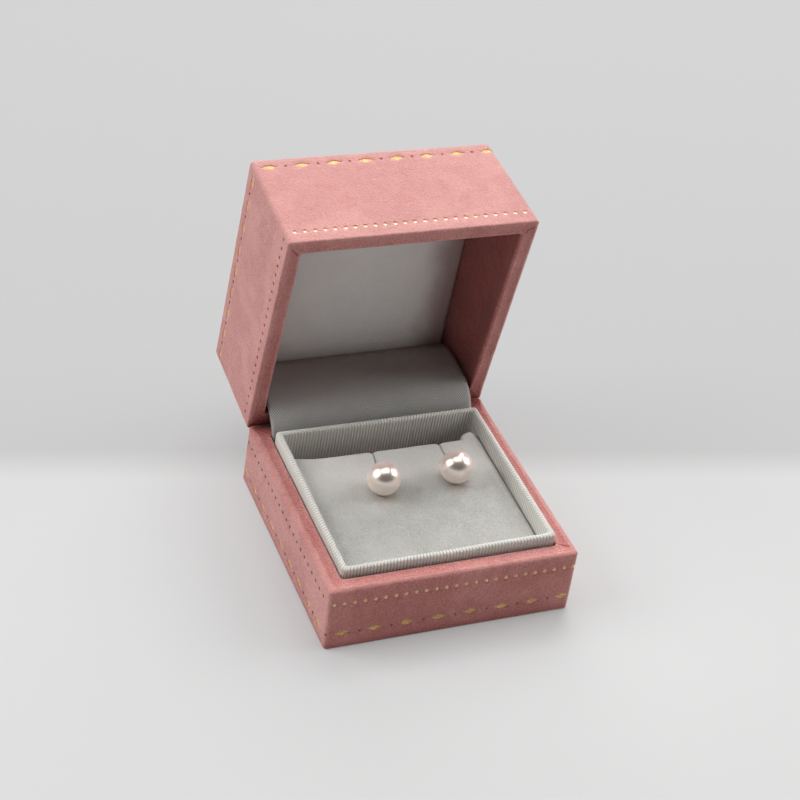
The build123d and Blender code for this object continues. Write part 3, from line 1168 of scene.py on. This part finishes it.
def pad_piece(finish):
    low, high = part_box("pad")
    left, right = low.x / MM - 0.3, high.x / MM + 0.3
    front, foot = low.y / MM - 0.85, low.z / MM
    slope, flat_level = sin(radians(1.7)), 14.6
    round_r, fold_r = 0.9, 1.5              # its upper edges, and the fold at its back
    curl_x, curl_half, bead_x = 21.5, 1.8, 22.4

    def curled(x):
        """The curled corner, from the side."""
        return sqrt(max(0.0, 1 - ((x - curl_x) / curl_half) ** 2))

    def back_edge(x):
        edge = 15.65 + 1.1 * hill(x - left, 5) + 0.12 * ripple(x, 0, 0, 6, 2.2) + 1.3 * curled(x)
        for stud in studs.values():
            edge -= 0.35 * hill(x - stud.slit_x, 0.8)
        return edge

    def lean(stud, x, y):
        """How far the slit's own line pulls a column aside."""
        share = min(1.0, max(0.0, (y - stud.foot.y) / (slit_end - stud.foot.y))) ** 0.8
        line = stud.foot.x + (stud.slit_x - stud.foot.x) * share
        return (line - stud.slit_x) * hill(x - stud.slit_x, 2.6)

    slits = [stud.slit_x for stud in studs.values()]
    xs = stations(left, right, 0.42, (0.12, 0.28, 0.5, 0.8, 1.2), slits)
    ys = stations(0.0, 1.0, 0.0105)
    points, worn, rosy = [], [], []
    for v in ys:
        for column in xs:
            edge = back_edge(column)
            y = front + v * (edge - front)
            x, dip, dark, glow = column, 0.0, 0.0, 0.0
            for stud in studs.values():
                x += lean(stud, column, y)
                more, more_shade = slit_dip(stud, x, y, abs(column - stud.slit_x))
                dip, dark = dip + more, dark + more_shade
                # painted shade with reflected rosy light under each pearl
                below_x, below_y = x - stud.middle.x, y - stud.middle.y + 1.6
                glow += hill(below_x ** 2 + below_y ** 2, 9.0)
            rim = sum(rolled(gap, round_r) for gap in (x - left, right - x, y - front))
            rim += rolled(edge - y, fold_r)
            curl = ease(y, 12.8, 15.8) * curled(x)
            bead = hill(x - bead_x, 0.8) * ease(y, -21, 14)
            level = flat_level + slope * y - min(rim, 2.4) - dip + 0.8 * curl + 0.25 * bead
            level += 0.06 * ripple(x, y, 0, 5.5, 0.3) + 0.03 * ripple(x, y, 0, 1.6, 7.3)
            points.append((x, y, level))
            # painted light: the back and right of the pad are paler, the curl and the bead get a
            # painted highlight, and painted shade darkens the slits
            rubbed_and_lit = 0.75 * ease(y, -6, 8) + 0.3 * ease(x, 12, 21) * ease(y, -8, 4)
            worn.append(curl + 0.45 * bead + rubbed_and_lit - dark)
            rosy.append(glow)
    faces = sheet_faces(len(ys), len(xs))
    skirt(points, faces, len(xs), len(ys), (11.5, 8.0, foot + 0.4, foot),
          lambda index, level: (*points[index][:2], level))
    plain = [0.0] * (len(points) - len(worn))
    made = piece("stud_pad", points, faces, finish, "base", ["pad"], "pad_suede",
                 worn=worn + plain, rosy=rosy + plain)


# %% Flock finish
flock = Finish("grey_flock")
mm = flock.millimetres()
speck = flock.cloud(mm, 0.3, detail=3, rough=0.7)
drift = flock.cloud(mm, 3.4, detail=4, rough=0.6)
brush = flock.cloud(mm, 11, detail=1)
crease = flock.cloud(mm, 1.7, detail=2, rough=0.5, twist=2.5)
worn = flock.mark("worn")
grey = (speck - 0.5) * 2.2 + (drift - 0.5) * 0.7 + (crease - 0.5) * 0.4 + brush * 0.3 + 0.35
down = flock.painted(
    rgb(0.38, 0.375, 0.345),
    (grey.share(), rgb(0.60, 0.595, 0.56)),
    # painted light on the back of the pad, the curl and the bead
    (worn.share(0.8), rgb(0.74, 0.72, 0.685)),
    # painted shade in the slits
    (worn.share(-0.5), rgb(0.52, 0.51, 0.47)),
    # painted shade with reflected rosy light under each pearl
    (flock.mark("rosy") * 0.3, rgb(0.50, 0.34, 0.29)),
)
grey_flock = flock.finished(
    Base_Color=down, Roughness=0.95, Specular_IOR_Level=0.15, Sheen_Weight=0.15,
    Sheen_Roughness=0.5, Normal=flock.relief((drift, 0.35), (crease, 0.18), (speck, 0.28)),
)
pad_piece(grey_flock)

# %% [markdown]
# ## The lid's lining panel
# A card padded with wadding and covered in fine weave is glued inside the
# crown. It swells a little in the middle and rolls away at its edges, where a
# dark line parts it from the walls. It leans, too: it lies deeper at the front
# than at the hinge.

# %% Lining panel
panel_near, panel_far = 3.2, 53.1           # along the lid, from the hinge
panel_level_near, panel_level_far = 16.7, 21.3
panel_half, panel_swell, panel_edge = 25.65, 0.55, 1.3
panel_shift = 0.2                           # to the right


def panel_piece(finish):
    fine = [0, 0.05, 0.15, 0.3, 0.5, 0.8, 1.2]
    xs = spread(-panel_half, panel_half, 0.88, fine, fine)
    alongs = spread(panel_near, panel_far, 0.88, fine, fine)
    points, cloth = [], []
    for ahead in alongs:
        share = (ahead - panel_near) / (panel_far - panel_near)
        flat = panel_level_near + share * (panel_level_far - panel_level_near)
        for x in xs:
            middle = (1 - (x / panel_half) ** 4) * (1 - max(0.0, 2 * share - 1) ** 4)
            drop = rolled(panel_half - abs(x), panel_edge)
            drop += rolled(ahead - panel_near, 0.5) + rolled(panel_far - ahead, panel_edge)
            soft = 0.10 * ripple(x, ahead, 0, 10, 6.1) + 0.03 * ripple(x, ahead, 0, 3, 2.0)
            level = flat - (panel_swell + soft) * middle + min(drop, 1.8)
            points.append(in_lid(x + panel_shift, ahead, level))
            cloth.append((x, ahead))
    faces, levels = sheet_faces(len(alongs), len(xs)), (23.2, 25.8)
    edge = skirt(
        points, faces, len(xs), len(alongs), levels,
        lambda index, level: in_lid(cloth[index][0] + panel_shift, cloth[index][1], level),
    )
    cloth += [(cloth[index][0] * 1.05, cloth[index][1]) for _ in levels for index in edge]
    made = piece("lid_lining", points, faces, finish, "lid", ["lid_panel"], "lining_cloth", cloth)


# %% Woven finishes
def woven(name, dark, light, pitch_mm, slant, depth_mm, contrast, soil, beading=0.25):
    """Cloth whose threads follow its own flat coordinates; slant turns them, for a twill. soil
    is painted shade: the axis along which it darkens, from where, to where, and its colour there."""
    cloth = Finish(name)
    flat = cloth.add("UVMap", uv_map="cloth")
    turned = cloth.add("Mapping", {"Vector": flat, "Rotation": (0, 0, slant)})
    wavy = cloth.cloud(flat, 1.3, detail=2)
    across, along, _ = cloth.split(turned)
    lines = cloth.maths("SINE", along * (2 * pi / pitch_mm) + wavy * 1.6) * 0.5 + 0.5
    beads = cloth.maths("SINE", across * (2 * pi / pitch_mm * 0.83) + wavy * 2.0) * 0.5 + 0.5
    fuzz = cloth.cloud(flat, 0.22, detail=2, rough=0.7)
    shade = cloth.cloud(flat, 7, detail=2)
    height = lines * (1 - beading) + beads * beading
    tint = (height - 0.5) * contrast + (fuzz - 0.5) * 0.5 + (shade - 0.5) * 0.35 + 0.5
    # painted shade along one axis of the cloth
    axis, shade_from, shade_to, shade_colour = soil
    up = cloth.split(flat)[axis] + (shade - 0.5) * 6
    colour = cloth.painted(
        dark, (tint.share(), light), (cloth.between(up, shade_from, shade_to) * 0.7, shade_colour)
    )
    return cloth.finished(
        Base_Color=colour, Roughness=0.8, Specular_IOR_Level=0.25, Sheen_Weight=0.1,
        Normal=cloth.relief((height, depth_mm), (fuzz, 0.03)),
    )


panel_piece(woven(
    "lining_weave", rgb(0.65, 0.645, 0.63), rgb(0.95, 0.945, 0.925), 0.45, radians(40), 0.03, 0.9,
    # painted shade towards the lid's right wall, tinted pink by light off that wall
    soil=(0, 14, 23.5, rgb(0.25, 0.12, 0.11)),
))

# %% [markdown]
# ## The hinge flap
# A strip of twill hides the hinge from inside. It comes up out of the slot
# behind the collar, bends back over the hinge edge and ends under the panel.
# It's a sheet, so it is made as one: a curve swept sideways, with a thin edge.
# Its twill runs up to the right, in the cloth's own flat coordinates, so the
# lines follow the cloth when it bends.

# %% Flap
flap_half, flap_thick = 25.75, 0.42
slot, slot_rise = Vector((23.5, 11.3)), Vector((0.3, 3.4))
flap_bends = ((8.0, 70), (30.0, 22))        # radius and degrees
tucked = in_lid(0, 3.7, 16.9)               # where it ends under the panel


def flap_line():
    """The middle of the flap from the side, from the slot up to the panel, as (y, z)."""
    at, way = slot, slot_rise.normalized()
    line = [at.copy()]

    def go(length, turn_deg=0.0):
        nonlocal at, way
        steps = max(2, ceil(length / 0.35))
        half_turn = Matrix.Rotation(radians(-turn_deg / steps / 2), 2)
        for _ in range(steps):
            way = half_turn @ way
            at = at + way * (length / steps)
            way = half_turn @ way
            line.append(at.copy())

    go(slot_rise.length)
    for radius, bend in flap_bends:
        go(radians(bend) * radius, bend)
    rest = Vector(tucked[1:]) - at
    way = rest.normalized()
    go(rest.length)
    return line


def flap_piece(finish):
    line = flap_line()
    steps = [b - a for a, b in zip(line, line[1:])]
    run = [0.0]
    for step in steps:
        run.append(run[-1] + step.length)
    outs = [Vector((-way.y, way.x)) for way in (s.normalized() for s in [*steps, steps[-1]])]
    across = 64
    xs = [-flap_half + 2 * flap_half * k / across for k in range(across + 1)]
    points, cloth = [], []
    for side in (1, -1):
        for spot, out, along in zip(line, outs, run):
            free = sin(pi * min(1.0, max(0.0, (along - 4) / (run[-1] - 4))))
            for x in xs:
                edge = 1 - ease(abs(x), flap_half - 0.35, flap_half)
                swell = 0.35 * (1 - (x / flap_half) ** 2) + 0.15 * ripple(x, along, 0, 9, 5.5)
                off = side * flap_thick / 2 * edge + swell * free
                points.append((x - 0.35 * free, spot.x + out.x * off, spot.y + out.y * off))
                cloth.append((x, along))
    wide, deep, back = len(xs), len(line), len(points) // 2
    faces = sheet_faces(deep, wide) + sheet_faces(deep, wide, back)
    for row in (0, back - wide):
        faces += band(range(row, row + wide), range(row + back, row + back + wide), closed=False)
    made = piece("hinge_twill", points, faces, finish, None, ["hinge_flap"], "twill", cloth)
    print("flap, flat, mm:", 2 * flap_half, "x", round(run[-1], 1))
    return made, run[-1]


twill_cloth = woven(
    "grey_twill", rgb(0.28, 0.28, 0.268), rgb(0.56, 0.56, 0.54), 0.42, radians(-39), 0.06, 1.3,
    # painted shade at the top, where the flap runs up inside the lid
    soil=(1, 9, 19, rgb(0.33, 0.295, 0.285)), beading=0.1,
)
flap, flap_length = flap_piece(twill_cloth)
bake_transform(flap)

# %% [markdown]
# ## Pearls
# A pearl is never quite round, and its shine comes from thousands of thin
# layers. Some light mirrors off the top one, more comes back softly from those
# below, and the rest is the warm white inside. So the finish is part metal and
# part milk under a clear coat, rosy above and creamy below. The creamier, less
# metallic lower half is a painted reflection of the pale pad and table below it.

# %% Pearl finish
nacre = Finish("nacre")
mm = nacre.millimetres()
cloudy = nacre.cloud(mm, 2.4, detail=3)
fine = nacre.cloud(mm, 0.5, detail=3)
rim = nacre.add("LayerWeight", {"Blend": 0.5}, output=1)
painted_low_reflection = nacre.between(nacre.split(mm)[2], 21.0, 16.5)       # painted reflection of the pad below: paler from above the pearl's middle down
body_white = nacre.painted(
    rgb(0.97, 0.85, 0.77), (rim, rgb(0.84, 0.64, 0.58)), (painted_low_reflection * 0.6, rgb(1.0, 0.93, 0.84))
)
pearl_nacre = nacre.finished(
    Base_Color=body_white, Metallic=nacre.maths("SUBTRACT", 0.92 - 0.25 * painted_low_reflection, rim, clamp=True),
    Roughness=0.27 + 0.03 * fine, Specular_IOR_Level=0.7,
    Coat_Weight=0.3, Coat_Roughness=0.12, Coat_IOR=1.6, Normal=nacre.relief((cloudy, 0.012)),
)


# %% Pearls
def pearl_piece(side, seed, swollen=1.035):
    stud = studs[side]
    shaped = bmesh.new()
    bmesh.ops.create_icosphere(shaped, subdivisions=5, radius=1.0)
    points = []
    for vertex in shaped.verts:
        way = vertex.co.normalized()
        grow = 1 - 0.006 * (1 + ripple(*(way * 3), 3.0, seed)) - 0.004 * (1 - way.z)
        points.append(tuple(stud.middle + way * swollen * stud.radius * grow))
    faces = [tuple(v.index for v in face.verts) for face in shaped.faces]
    shaped.free()
    pearl = "pearl_" + side
    piece(pearl + "_nacre", points, faces, pearl_nacre, "base", [pearl], "pearl")


pearl_piece("left", 1.3)
pearl_piece("right", 5.9)

# %% [markdown]
# ## Small metal
# The cups and posts under the pearls and the hinge wire already have their
# true shape in the CAD, so those nodes stay and only get a finish: silver with
# fine drawing lines, and plain steel wire.

# %% Metal finishes
def drawn_metal(name, colour, shade, rough):
    metal = Finish(name)
    lines = metal.cloud(metal.millimetres(stretch=(1, 6, 6)), 0.5, detail=3)
    return metal.finished(
        Base_Color=metal.blend(lines, colour, shade), Metallic=1.0,
        Roughness=rough + 0.15 * lines, Normal=metal.relief((lines, 0.01)),
    )


post_silver = drawn_metal("post_silver", rgb(0.90, 0.89, 0.87), rgb(0.72, 0.71, 0.69), 0.18)
wire_steel = drawn_metal("wire_steel", rgb(0.62, 0.61, 0.60), rgb(0.42, 0.41, 0.40), 0.35)
for node, metal in (
    ("post_left", post_silver), ("post_right", post_silver), ("hinge_pin", wire_steel)
):
    materials = frame["nodes"][node].data.materials
    materials.clear()
    materials.append(metal)
